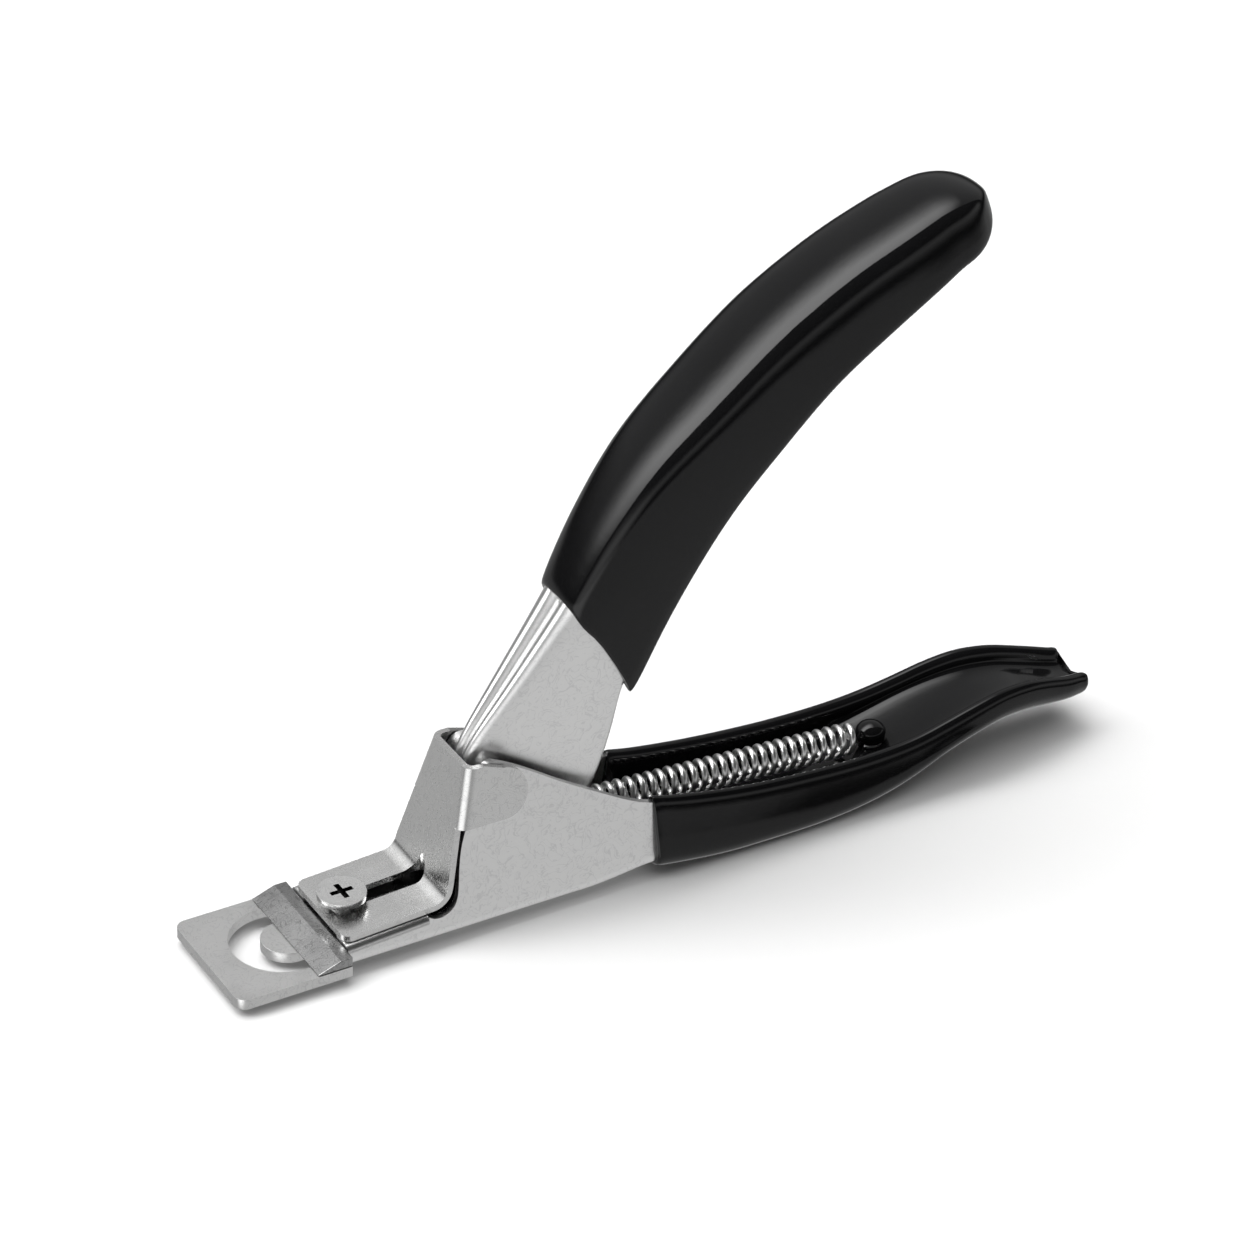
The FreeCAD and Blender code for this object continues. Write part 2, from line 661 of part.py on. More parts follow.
def make_guide_screw():
    x = size("screw_centre")
    head_low, head_top = 4.1, 4.95
    head = part_cylinder("screw_head", "dimensions.screw_head_radius", head_top - head_low, (x, 0, head_low))
    shank = part_cylinder("screw_shank", 1.2, head_low + 2.4, (x, 0, -2.4))
    solid = joined("screw_solid", [head, shank])
    recess = []
    for i, (length, width) in enumerate(((3.4, 0.8), (0.8, 3.4))):
        corner = (x - length / 2, -width / 2, head_top - 0.6)
        recess.append(part_box("recess_%d" % i, corner, (length, width, 2)))
    recess_cross = joined("screw_recess", recess)
    screw = document.addObject("Part::Cut", "guide_screw")
    screw.Base = solid
    screw.Tool = recess_cross
    screw.Label = "guide_screw"
    place_in_frame(screw)


def make_guide_bush():
    x = size("screw_centre")
    low = size("channel_bottom") + gauge
    outside = part_cylinder("bush_outside", 1.55, 4.1 - low, (x, 0, low))
    bore = part_cylinder("bush_bore", 1.2, 10, (x, 0, -3))
    bush = document.addObject("Part::Cut", "guide_bush")
    bush.Base = outside
    bush.Tool = bore
    bush.Label = "guide_bush"
    place_in_frame(bush)


def make_rivets(name, places, low, high, head):
    """Flush rivets; head is the height of the wider head below them, or 0 for none."""
    pieces = []
    for i, (x, y) in enumerate(places):
        shank = part_cylinder("%s_%d" % (name, i), "dimensions.rivet_radius", high - low, (x, y, low))
        if head:
            cap = part_cylinder("%s_cap_%d" % (name, i), 1.8, head, (x, y, low - head))
            pieces.append(joined("%s_one_%d" % (name, i), [shank, cap]))
        else:
            pieces.append(shank)
    rivets = document.addObject("Part::Compound", name)
    rivets.Links = pieces
    rivets.Label = name
    place_in_frame(rivets)


floor_top = size("channel_bottom") + gauge
tang_low = size("channel_bottom") - size("tang_gauge")
blade_low = size("blade_gap")
make_guide_screw()
make_guide_bush()
cross_pin("pivot_pin", pivot, "dimensions.pivot_radius", 4.65)
cross_pin("drive_pin", drive_pin, "dimensions.drive_pin_radius", 3.3)
cross_pin("spring_pin", spring_pin, 0.8, 1.85)
make_rivets("ring_plate_rivets", rivet_places, tang_low, floor_top, 0.3)
make_rivets("blade_rivets", blade_rivet_places, blade_low, cover_top(27) - size("cover_gauge") - 0.05, 0)


# ---- spring anchor and return spring ------------------------------------------------------------

def make_spring_anchor():
    """A coated post through the floor of the lower handle, with a domed top."""
    x, z = anchor
    radius = 2.2
    dome_height = 1.6
    post = Part.makeCylinder(1.0, z + 2.2, Vector(x, 0, -1.2))
    cap_low = z - 0.4
    cap_height = 1.0
    cap = Part.makeCylinder(radius, cap_height, Vector(x, 0, cap_low))
    squash = FreeCAD.Matrix()
    squash.scale(1, 1, dome_height / radius)
    dome = Part.makeSphere(radius).transformGeometry(squash)
    dome.translate(Vector(x, 0, cap_low + cap_height))
    dome = dome.common(box(x - 4, x + 4, 4, cap_low + cap_height, 12))
    keep_shape("spring_anchor", post.fuse(cap).fuse(dome).removeSplitter())


def make_return_spring():
    """A coil between the spring pin and the anchor, with a ring at each end."""
    wire = size("spring_wire")
    radius = size("spring_radius") - wire / 2
    start = Vector(spring_pin[0] + 3.4, 0, spring_pin[1])
    end = Vector(anchor[0] - 3.4, 0, anchor[1] + 0.4)
    axis = end.sub(start)
    length = axis.Length
    turns = size("spring_turns")
    helix = Part.makeHelix(length / turns, length, radius)
    section = Part.Wire(Part.makeCircle(wire / 2, Vector(radius, 0, 0), Vector(0, 1, 0)))
    coil = Part.Wire(helix).makePipeShell([section], True, True)
    turn = FreeCAD.Rotation(Vector(0, 0, 1), axis)
    coil.Placement = FreeCAD.Placement(start, turn)
    front_ring = Part.makeTorus(1.35, wire / 2, side(spring_pin), Vector(0, 1, 0))
    rear_ring = Part.makeTorus(2.2 + wire / 2, wire / 2, side((anchor[0], anchor[1] + 0.1)), Vector(0, 0, 1))
    first = turn.multVec(Vector(radius, 0, 0)).add(start)
    last = turn.multVec(Vector(radius, 0, 0)).add(end)
    ends = []
    for a, b in ((side((spring_pin[0] + 1.2, spring_pin[1] + 0.3)), first), (last, side((anchor[0] - 2.2, anchor[1])))):
        run = b.sub(a)
        ends.append(Part.makeCylinder(wire / 2, run.Length, a, run))
    return coil.multiFuse([front_ring, rear_ring] + ends)


make_spring_anchor()
keep_shape("return_spring", make_return_spring())
document.recompute()


# ---- checks and export --------------------------------------------------------------------------

for item in document.Objects:
    if any(word in item.State for word in ("Invalid", "Error")):
        raise RuntimeError("%s did not compute: %s" % (item.Name, item.State))
os.makedirs("parts", exist_ok=True)
for name in node_names:
    item = document.getObject(name)
    if item.Shape.isNull() or not item.Shape.isValid():
        raise RuntimeError("%s has no valid shape" % name)
    print(name, len(item.Shape.Solids), round(item.Shape.Volume, 1))
    item.Shape.exportStep("parts/%s.step" % item.Label)
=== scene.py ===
import math

import bmesh
import bpy
import numpy as np
from mathutils import Matrix, Vector


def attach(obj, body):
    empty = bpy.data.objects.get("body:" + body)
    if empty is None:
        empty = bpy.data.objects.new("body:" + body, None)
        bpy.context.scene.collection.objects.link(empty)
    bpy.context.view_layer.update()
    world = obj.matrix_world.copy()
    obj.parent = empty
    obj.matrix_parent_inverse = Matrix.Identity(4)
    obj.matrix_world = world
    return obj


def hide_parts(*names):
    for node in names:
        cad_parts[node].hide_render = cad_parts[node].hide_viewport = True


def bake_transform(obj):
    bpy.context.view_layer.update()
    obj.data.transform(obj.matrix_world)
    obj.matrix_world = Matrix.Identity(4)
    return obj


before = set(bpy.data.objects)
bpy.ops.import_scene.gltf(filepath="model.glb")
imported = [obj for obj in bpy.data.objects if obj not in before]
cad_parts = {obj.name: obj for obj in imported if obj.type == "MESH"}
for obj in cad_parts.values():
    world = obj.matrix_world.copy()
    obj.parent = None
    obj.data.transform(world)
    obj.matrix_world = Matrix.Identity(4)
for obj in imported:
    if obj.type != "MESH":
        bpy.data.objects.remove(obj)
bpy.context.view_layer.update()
print("frame loaded:", len(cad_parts), "nodes")

mm = 0.001
noseX, plateTop = -87.0, 2.8    # the nose edge and the ring plate's top, in the row frame
scene = bpy.context.scene


# spots along the tool are given in mm: back from the nose, across, up from the ring plate's top
def spot(x, y, z):
    return Vector(((x + noseX) * mm, y * mm, (z + plateTop) * mm))


class Wire:
    # a shader socket that adds, scales and compares like a number
    def __init__(self, tree, socket):
        self.tree = tree
        self.socket = socket

    def node(self, kind, settings=None, inputs=None, output=0):
        made = self.tree.nodes.new(kind)
        for name, value in (settings or {}).items():
            setattr(made, name, value)
        for name, value in (inputs or {}).items():
            if isinstance(value, Wire):
                self.tree.links.new(value.socket, made.inputs[name])
            else:
                made.inputs[name].default_value = value
        return None if output is None else Wire(self.tree, made.outputs[output])

    def maths(self, operation, *others):
        return self.node("ShaderNodeMath", {"operation": operation}, dict(enumerate((self, *others))))

    def __add__(self, other):
        return self.maths("ADD", other)

    def __radd__(self, other):
        return self.maths("ADD", other)

    def __mul__(self, other):
        return self.maths("MULTIPLY", other)

    def __rmul__(self, other):
        return self.maths("MULTIPLY", other)

    def __sub__(self, other):
        return self.maths("SUBTRACT", other)

    def __rsub__(self, other):
        return self.maths("MULTIPLY_ADD", -1, other)

    def between(self, low, high):    # 0 below low, 1 above high, smooth in between
        return self.node("ShaderNodeMapRange", {"interpolation_type": "SMOOTHSTEP"},
                         {"Value": self, "From Min": low, "From Max": high})

    def blend(self, first, second):    # two colours mixed by this wire
        return self.node("ShaderNodeMix", {"data_type": "RGBA"}, {0: self, 6: first, 7: second}, 2)

    def towards(self, axis):    # how far this vector runs along an axis
        return self.node("ShaderNodeVectorMath", {"operation": "DOT_PRODUCT"}, {0: self, 1: axis}, 1)

    def stretched(self, factors):
        return self.node("ShaderNodeVectorMath", {"operation": "MULTIPLY"}, {0: self, 1: factors})

    def turned(self, degrees):
        return self.node("ShaderNodeVectorRotate", {"rotation_type": "EULER_XYZ"},
                         {"Vector": self, "Rotation": [math.radians(d) for d in degrees]})

    def noise(self, scale, detail=3.0, roughness=0.5, distortion=0.0):
        return self.node("ShaderNodeTexNoise", {}, {
            "Vector": self, "Scale": scale, "Detail": detail, "Roughness": roughness, "Distortion": distortion})


def newMaterial(name):
    material = bpy.data.materials.new(name)
    material.use_nodes = True
    tree = material.node_tree
    tree.nodes.clear()
    shader = tree.nodes.new("ShaderNodeBsdfPrincipled")
    output = tree.nodes.new("ShaderNodeOutputMaterial")
    tree.links.new(shader.outputs[0], output.inputs[0])
    place = tree.nodes.new("ShaderNodeTexCoord")
    return material, shader, Wire(tree, place.outputs["Object"])    # the place is in metres


def connect(shader, values):
    for name, value in values.items():
        if isinstance(value, Wire):
            value.tree.links.new(value.socket, shader.inputs[name])
        else:
            shader.inputs[name].default_value = value


# stainless sheet: light, fine grain, faint curved polishing marks
steelFinish = {
    "light": (0.80, 0.80, 0.795, 1),
    "dark": (0.70, 0.70, 0.70, 1),
    "roughness": 0.30,
    "roughnessSpread": 0.12,
    "grain": (260, 3000, 3000),    # per metre along and across the grain
    "grainBump": 0.04,
    "cloudScale": 130,
    "swirlScale": 420,
    "swirlBump": 0.13,
    "shares": (0.2, 0.4, 0.4),     # how much grain, cloud and marks tint the metal
    "spread": (0.3, 0.8),          # the part of that tint that runs from dark to light
    "bumpDepth": 0.00002,
}
# painted shade on the length of the bar hidden under the cover, and painted shade in the screw's recess
paintedBarShade = {"colour": (0.02, 0.02, 0.02, 1), "starts": 19.0, "fade": (-0.4, 0.8)}
screwRecess = {"colour": (0.012, 0.012, 0.012, 1), "x": 20.6, "radius": 1.9, "floor": 4.78, "fade": (0.1, 0.12)}


# painted shade: the bar goes dark behind the cover's front edge, where the cover shades it
def shadedUnderCover(colour, place):    # dark behind the cover's front edge
    start = paintedBarShade["starts"] + noseX
    low, high = ((start + step) * mm for step in paintedBarShade["fade"])
    return place.towards((1, 0, 0)).between(low, high).blend(colour, paintedBarShade["colour"])


def shadedRecess(colour, place):    # dark below the screw's face, near its middle
    middle = ((screwRecess["x"] + noseX) * mm, 0, 0)
    flat = place.stretched((1, 1, 0))
    away = flat.node("ShaderNodeVectorMath", {"operation": "DISTANCE"}, {0: flat, 1: middle}, 1)
    floor, radius = screwRecess["floor"] + plateTop, screwRecess["radius"]
    outward, upward = screwRecess["fade"]
    low = 1 - place.towards((0, 0, 1)).between(floor * mm, (floor + upward) * mm)
    inside = (1 - away.between(radius * mm, (radius + outward) * mm)) * low
    return inside.blend(colour, screwRecess["colour"])


def steel(name, turn=(0, 0, 0), over=None, **changes):
    finish = {**steelFinish, **changes}
    material, shader, place = newMaterial(name)
    grain = place.turned(turn).stretched(finish["grain"]).noise(1.0, 2.0, 0.6)
    cloud = place.noise(finish["cloudScale"], 4.0, 0.55, 0.6)
    swirl = place.noise(finish["swirlScale"], 2.0, 0.5, 2.2)
    marks = ((swirl - 0.5).maths("ABSOLUTE")).between(0.0, 0.035)
    grainShare, cloudShare, markShare = finish["shares"]
    tone = (grain * grainShare + cloud * cloudShare + marks * markShare).between(*finish["spread"])
    bump = place.node("ShaderNodeBump", {}, {
        "Strength": 1.0, "Distance": finish["bumpDepth"],
        "Height": grain * finish["grainBump"] + marks * finish["swirlBump"]})
    colour = tone.blend(finish["dark"], finish["light"])
    connect(shader, {
        "Base Color": over(colour, place) if over else colour,
        "Metallic": 1.0,
        "Roughness": finish["roughness"] + (cloud - 0.5) * finish["roughnessSpread"] + (1 - marks) * 0.05,
        "Normal": bump,
    })
    return material


# dipped vinyl: black, glossy, with a slow unevenness and a few dull specks
vinylFinish = {
    "colour": (0.0028, 0.0028, 0.003, 1),
    "worn": (0.006, 0.006, 0.0064, 1),
    "roughness": 0.055,
    "cloudScale": 90,
    "peelScale": 420,
    "speckScale": 2600,
    "bumpDepth": 0.00006,
    "ior": 1.34,
}


def vinyl(name):
    material, shader, place = newMaterial(name)
    cloud = place.noise(vinylFinish["cloudScale"], 3.0, 0.5, 0.3)
    peel = place.noise(vinylFinish["peelScale"], 2.0, 0.5, 0.2)
    speck = place.noise(vinylFinish["speckScale"], 1.0, 0.4).between(0.66, 0.72)
    bump = place.node("ShaderNodeBump", {}, {
        "Strength": 0.35, "Distance": vinylFinish["bumpDepth"], "Height": peel * 0.6 + cloud * 0.8})
    connect(shader, {
        "Base Color": (cloud * 0.6 + speck * 0.4).blend(vinylFinish["colour"], vinylFinish["worn"]),
        "Roughness": vinylFinish["roughness"] + cloud * 0.03 + speck * 0.05,
        "Normal": bump,
        "IOR": vinylFinish["ior"],
    })
    return material


def grey(value):
    return (value, value, value, 1)


def warmGrey(value):
    return (value, value, value - 0.005, 1)


steelSheet = steel("steelSheet")
coverSheet = steel("coverSheet", light=warmGrey(0.66), dark=grey(0.59), roughness=0.25,
                   grain=(260, 1500, 260), grainBump=0.02, swirlBump=0.02)
plateSheet = steel("plateSheet", light=warmGrey(0.64), dark=grey(0.53), grainBump=0.03)
groundEdge = steel("groundEdge", light=grey(0.34), dark=grey(0.18), roughness=0.26,
                   grain=(200, 4000, 200), grainBump=0.25, swirlBump=0.0)
screwSteel = steel("screwSteel", over=shadedRecess, light=warmGrey(0.84), dark=grey(0.66), roughness=0.24)
turnedSteel = steel("turnedSteel", light=warmGrey(0.80), dark=grey(0.62), roughness=0.24)
# the bar carries painted shade where it runs under the cover
barSteel = steel("barSteel", over=shadedUnderCover, light=warmGrey(0.86), dark=grey(0.68), roughness=0.27)
darkPin = steel("darkPin", light=grey(0.30), dark=grey(0.14))
ridgeSteel = steel("ridgeSteel", turn=(0, 55, 0), grainBump=0.02, swirlBump=0.03)
springWire = steel("springWire", light=(0.95, 0.95, 0.94, 1), dark=grey(0.84))
blackVinyl = vinyl("blackVinyl")
materialOf = {
    "lower_handle": steelSheet, "slide_cover": coverSheet, "slide_bar": barSteel, "ring_plate": plateSheet,
    "blade": groundEdge, "guide_screw": screwSteel, "guide_bush": turnedSteel, "pivot_pin": turnedSteel,
    "ring_plate_rivets": turnedSteel, "blade_rivets": turnedSteel, "drive_pin": darkPin, "spring_pin": darkPin,
    "spring_anchor": blackVinyl, "lower_grip": blackVinyl, "upper_grip": blackVinyl, "upper_handle": steelSheet,
    "return_spring": springWire,
}
easedEdge = {"ring_plate": 0.22, "blade": 0.10, "guide_screw": 0.14}    # mm


def easeEdges(node, width):
    weld = node.modifiers.new("weld", "WELD")
    weld.merge_threshold = 0.00001
    ease = node.modifiers.new("ease", "BEVEL")
    ease.width = width * mm
    ease.segments = 3
    ease.limit_method = "ANGLE"
    ease.angle_limit = math.radians(40)
    ease.harden_normals = False
    even = node.modifiers.new("even", "WEIGHTED_NORMAL")
    even.keep_sharp = True


for name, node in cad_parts.items():
    if name in easedEdge:
        easeEdges(node, easedEdge[name])
    node.data.materials.clear()
    node.data.materials.append(materialOf[name])
print("materials")


def through(stations, count):    # a smooth run through rows of numbers, ends included
    rows = [np.array(row, float) for row in stations]
    padded = [2 * rows[0] - rows[1], *rows, 2 * rows[-1] - rows[-2]]
    made = []
    for i in range(count):
        at = i / (count - 1) * (len(rows) - 1)
        k = min(int(at), len(rows) - 2)
        t = at - k
        a, b, c, d = padded[k:k + 4]
        made.append(0.5 * (2 * b + (c - a) * t + (2 * a - 5 * b + 4 * c - d) * t * t
                           + (3 * b - a - 3 * c + d) * t ** 3))
    return made


def newPiece(name, mesh, body, replaced, levels=0):
    mesh.polygons.foreach_set("use_smooth", [True] * len(mesh.polygons))
    piece = bpy.data.objects.new(name, mesh)
    scene.collection.objects.link(piece)
    if levels:
        smooth = piece.modifiers.new("smooth", "SUBSURF")
        smooth.levels = smooth.render_levels = levels
    if body:
        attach(piece, body)
    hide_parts(replaced)
    return piece


def skin(rows, material):    # joins rings of spots into one closed skin
    work = bmesh.new()
    grid = [[work.verts.new(p) for p in row] for row in rows]
    around = len(rows[0])
    for a, b in zip(grid, grid[1:]):
        for i in range(around):
            j = (i + 1) % around
            work.faces.new((a[i], a[j], b[j], b[i]))
    work.faces.new(grid[0][::-1])
    work.faces.new(grid[-1])
    bmesh.ops.recalc_face_normals(work, faces=work.faces)
    mesh = bpy.data.meshes.new("skin")
    work.to_mesh(mesh)
    work.free()
    mesh.materials.append(material)
    return mesh


def spots(rows):    # rings given in mm
    return [[spot(*p) for p in row] for row in rows]


def bothSides(half):    # a whole ring from one half of it, which starts and ends on the middle
    return half + [(-y, *rest) for y, *rest in half[-2:0:-1]]


# upper grip: dipped vinyl over an arched channel, open underneath
upperGrip = {
    # crown x, z, rim x, z, half width: from the mouth to the end
    "stations": [
        (52.6, 44.0, 62.3, 27.4, 6.2), (57.6, 53.2, 67.9, 40.6, 7.5), (64.4, 62.6, 75.1, 53.2, 8.6),
        (73.5, 71.0, 82.7, 62.4, 9.3), (83.3, 79.0, 90.6, 70.2, 9.5), (93.7, 85.1, 99.1, 75.9, 9.3),
        (102.7, 88.9, 106.4, 80.2, 8.9), (108.4, 90.9, 110.9, 82.5, 8.2),
    ],
    "endReach": 8.8,
    "endRings": (12, 24, 36, 48, 60, 71, 80),    # degrees round the closed end
    # half of the section: share of the half width, mm down from the crown
    "arch": [(0.0, 0.0), (0.35, 0.16), (0.60, 0.62), (0.725, 1.2), (0.79, 1.9), (0.845, 3.0),
             (0.90, 4.8), (0.955, 7.4)],
    "wall": 2.6,
    # share of the way from crown to rim, and how far the mouth's edge stands ahead there
    "mouth": (
        (0.0, 0.15, 0.30, 0.42, 0.55, 0.70, 0.85, 1.0),
        (0.0, 0.25, 0.15, -0.7, -1.3, -1.2, -0.7, 0.1),
    ),
    "mouthEdge": ((0.86, 0.0), (0.5, 0.12), (0.12, 0.0)),    # how far in and ahead its rounding goes
    "mouthRings": 4,
    "lip": 1.3,
    "rings": 30,
}


def upperRing(station, shrink=0.0, ahead=0.0, mouthShare=0.0):
    crownX, crownZ, rimX, rimZ, half = station
    depth = math.hypot(rimX - crownX, rimZ - crownZ)
    downX, downZ = (rimX - crownX) / depth, (rimZ - crownZ) / depth
    scale = min(1.0, depth / 11.0)
    wide = half - shrink
    wall = min(upperGrip["wall"], 0.5 * half) - 2 * shrink
    inner = wide - wall
    low = depth - shrink
    lip = min(upperGrip["lip"], 0.25 * depth)
    roof = min(shrink + wall + 0.3, low - lip)
    side = [(share * wide, shrink + d * scale) for share, d in upperGrip["arch"]]
    side += [
        (wide, max(low - lip, side[-1][1] + 0.05)), (wide - 0.08 * wall, low - 0.15 * lip),
        (wide - 0.45 * wall, low), (wide - 0.86 * wall, low - 0.35 * lip), (inner, low - lip),
        (inner, min(roof + 4.5 * scale, low - lip)), (0.92 * inner, min(roof + 2.0 * scale, low - lip)),
        (0.55 * inner, roof + 0.2 * scale), (0.0, roof),
    ]
    ring = []
    for y, d in bothSides(side):
        lead = ahead + mouthShare * float(np.interp(d / depth, *upperGrip["mouth"]))
        ring.append((crownX + downX * d + downZ * lead, y, crownZ + downZ * d - downX * lead))
    return ring


def makeUpperGrip():
    stations = through(upperGrip["stations"], upperGrip["rings"])
    rows = [upperRing(stations[0], shrink, ahead, 1.0) for shrink, ahead in upperGrip["mouthEdge"]]
    for i, station in enumerate(stations[1:], 1):
        rows.append(upperRing(station, mouthShare=max(0.0, 1 - i / upperGrip["mouthRings"])))
    last = rows[-1]
    topX, topZ, lowX, lowZ, half = stations[-1]
    depth = math.hypot(lowX - topX, lowZ - topZ)
    onX, onZ = (topZ - lowZ) / depth, (lowX - topX) / depth
    middleX, middleZ = 0.5 * (topX + lowX), 0.5 * (topZ + lowZ)
    for angle in upperGrip["endRings"]:    # the end closes like half an egg
        left = math.cos(math.radians(angle))
        out = upperGrip["endReach"] * math.sin(math.radians(angle))
        rows.append([(middleX + (x - middleX) * left + onX * out, y * left,
                      middleZ + (z - middleZ) * left + onZ * out) for x, y, z in last])
    grip = skin(spots(rows), blackVinyl)
    newPiece("upperGripVinyl", grip, "upper", "upper_grip", 1)


# bare part of the upper handle: two rounded ridges with a groove between them
upperHandle = {
    # crown x, z, rim x, z, half width at the crown, half width at the rim: from inside the grip down
    "stations": [
        (60.2, 54.6, 69.3, 44.6, 5.6, 6.3), (56.4, 49.2, 65.4, 37.0, 5.0, 5.7),
        (53.3, 43.7, 61.5, 29.4, 4.45, 4.95), (49.2, 37.6, 60.2, 22.6, 3.9, 4.5),
        (44.4, 30.8, 58.9, 17.0, 3.2, 4.1), (39.6, 24.0, 56.9, 11.8, 2.3, 3.8),
        (38.0, 19.8, 52.9, 8.9, 2.1, 3.5), (38.6, 15.8, 49.6, 5.2, 2.6, 3.3), (40.8, 11.4, 46.6, 3.4, 2.8, 3.1),
    ],
    # half of the section: share of the half width, share of the ridge height down from the crown
    "ridge": [(0.0, 1.35), (0.05, 0.95), (0.16, 0.38), (0.34, 0.04), (0.54, 0.0), (0.74, 0.22), (0.90, 0.72),
              (0.98, 1.4), (1.0, 2.4)],
    "ridgeHeight": 0.42,           # for each mm of half width
    "flank": (0.35, 0.7, 0.97),    # where the wall carries a line of points
    "edge": 0.12,
    "gauge": 0.9,
    "rings": 24,
}


def upperHandleRing(station):
    crownX, crownZ, rimX, rimZ, half, rimHalf = station
    depth = math.hypot(rimX - crownX, rimZ - crownZ)
    downX, downZ = (rimX - crownX) / depth, (rimZ - crownZ) / depth
    gauge, edge, flank = upperHandle["gauge"], upperHandle["edge"], upperHandle["flank"]
    height = upperHandle["ridgeHeight"] * half
    side = [(share * half, d * height) for share, d in upperHandle["ridge"]]
    top = side[-1][1]
    side += [(half + (rimHalf - half) * share, top + (depth - top) * share) for share in flank]
    side += [(rimHalf - edge, depth), (rimHalf - gauge + edge, depth)]
    side += [(half + (rimHalf - half) * share - gauge, top + (depth - top) * share)
             for share in (*flank[::-1], 0.0)]
    side += [(0.6 * (half - gauge), gauge + 0.5 * height), (0.0, gauge + height)]
    return [(crownX + downX * d, y, crownZ + downZ * d) for y, d in bothSides(side)]


def makeUpperHandle():
    rows = [upperHandleRing(station) for station in through(upperHandle["stations"], upperHandle["rings"])]
    newPiece("upperHandleSteel", skin(spots(rows), ridgeSteel), "upper", "upper_handle", 1)


# lower grip: an open dipped channel with rolled rims and a shallow tail
lowerGrip = {
    # x, rim height, underside height, half width at the rim and at the floor, floor height inside
    "stations": [
        (66.0, 9.95, -1.35, 7.6, 9.7, 1.35), (70, 8.95, -1.9, 7.75, 9.8, 0.8), (77, 7.7, -2.65, 8.0, 9.9, 0.05),
        (84, 6.8, -2.8, 8.15, 9.95, -0.1), (92, 6.15, -2.8, 8.2, 9.95, -0.1), (99, 5.85, -2.35, 8.3, 9.8, 0.4),
        (105, 5.95, -1.4, 8.3, 9.5, 1.9), (110, 6.4, -0.1, 8.25, 9.1, 3.3), (115, 7.35, 1.7, 8.0, 8.7, 4.7),
        (120, 8.4, 2.9, 7.75, 8.2, 5.7), (125, 9.05, 3.55, 7.3, 7.5, 6.2), (130, 8.7, 3.3, 6.7, 6.8, 5.9),
        (134, 7.75, 2.6, 6.2, 6.2, 5.0), (138.0, 6.6, 2.1, 5.7, 5.6, 4.0), (140.8, 5.9, 1.9, 5.0, 4.9, 3.6),
    ],
    "wall": 2.6,
    "lip": 1.9,
    "corner": 2.0,
    "mouthEdge": ((0.86, 0.30), (0.5, 0.42), (0.12, 0.30)),    # how far in and ahead its rounding goes
    "tailTurns": (25, 50, 72, 88),                             # degrees round the tail's edge
    "tailEdge": (0.72, 1.1),                                   # how far in and back that edge goes
    "rings": 46,
}


def lowerRing(station, shrink=0.0, x=None):
    stationX, rim, under, rimHalf, floorHalf, floor = station
    rim, under, floor = rim - shrink, under + shrink, floor - shrink
    rimHalf, floorHalf = rimHalf - shrink, floorHalf - shrink
    wall = min(lowerGrip["wall"], 0.5 * rimHalf) - 2 * shrink
    tall = rim - under
    lip = min(lowerGrip["lip"], 0.4 * tall)
    corner = min(lowerGrip["corner"], 0.35 * tall)
    deep = rim - floor
    inner, innerFloor = rimHalf - wall, floorHalf - wall
    side = [
        (0.0, under), (0.5 * floorHalf, under), (floorHalf - 1.5 * corner, under),
        (floorHalf - 0.35 * corner, under + 0.3 * corner), (floorHalf - 0.02, under + 1.2 * corner),
        ((rimHalf + floorHalf) / 2, (rim + under) / 2), (rimHalf, rim - lip),
        (rimHalf - 0.12 * wall, rim - 0.35 * lip), (rimHalf - 0.45 * wall, rim),
        (rimHalf - 0.88 * wall, rim - 0.3 * lip), (inner, rim - 0.9 * lip - 0.1),
        (0.48 * inner + 0.5 * innerFloor, rim - 0.62 * deep), (0.94 * innerFloor, floor + 0.16 * deep),
        (0.72 * innerFloor, floor + 0.02 * deep), (0.3 * innerFloor, floor), (0.0, floor),
    ]
    return [(stationX if x is None else x, y, z) for y, z in bothSides(side)]


def makeLowerGrip():
    stations = through(lowerGrip["stations"], lowerGrip["rings"])
    mouth, tail = stations[0], stations[-1]
    rows = [lowerRing(mouth, shrink, mouth[0] - ahead) for shrink, ahead in lowerGrip["mouthEdge"]]
    rows += [lowerRing(station) for station in stations]
    inward, back = lowerGrip["tailEdge"]
    for angle in lowerGrip["tailTurns"]:
        turn = math.radians(angle)
        rows.append(lowerRing(tail, inward * (1 - math.cos(turn)), tail[0] + back * math.sin(turn)))
    newPiece("lowerGripVinyl", skin(spots(rows), blackVinyl), "lower", "lower_grip", 1)


# return spring: one wire with a hook round the pin and a ring round the anchor
returnSpring = {
    "start": (54.6, 7.1),
    "end": (103.0, 3.9),
    "turns": 29,
    "coilRadius": 2.05,
    "wireRadius": 0.44,
    "pin": (51.6, 6.9, 1.25),        # x, z and the hook's radius
    "anchor": (106.6, 2.4, 1.55),    # x, z and the ring's radius
    "hookTurn": (40, 330, 14),       # degrees from, to, and the points between
    "ringTurn": (8, 335, 26),
    "endCurl": 0.25,                 # the coil starts this narrow
    "stepsPerTurn": 22,
    "sides": 10,
}


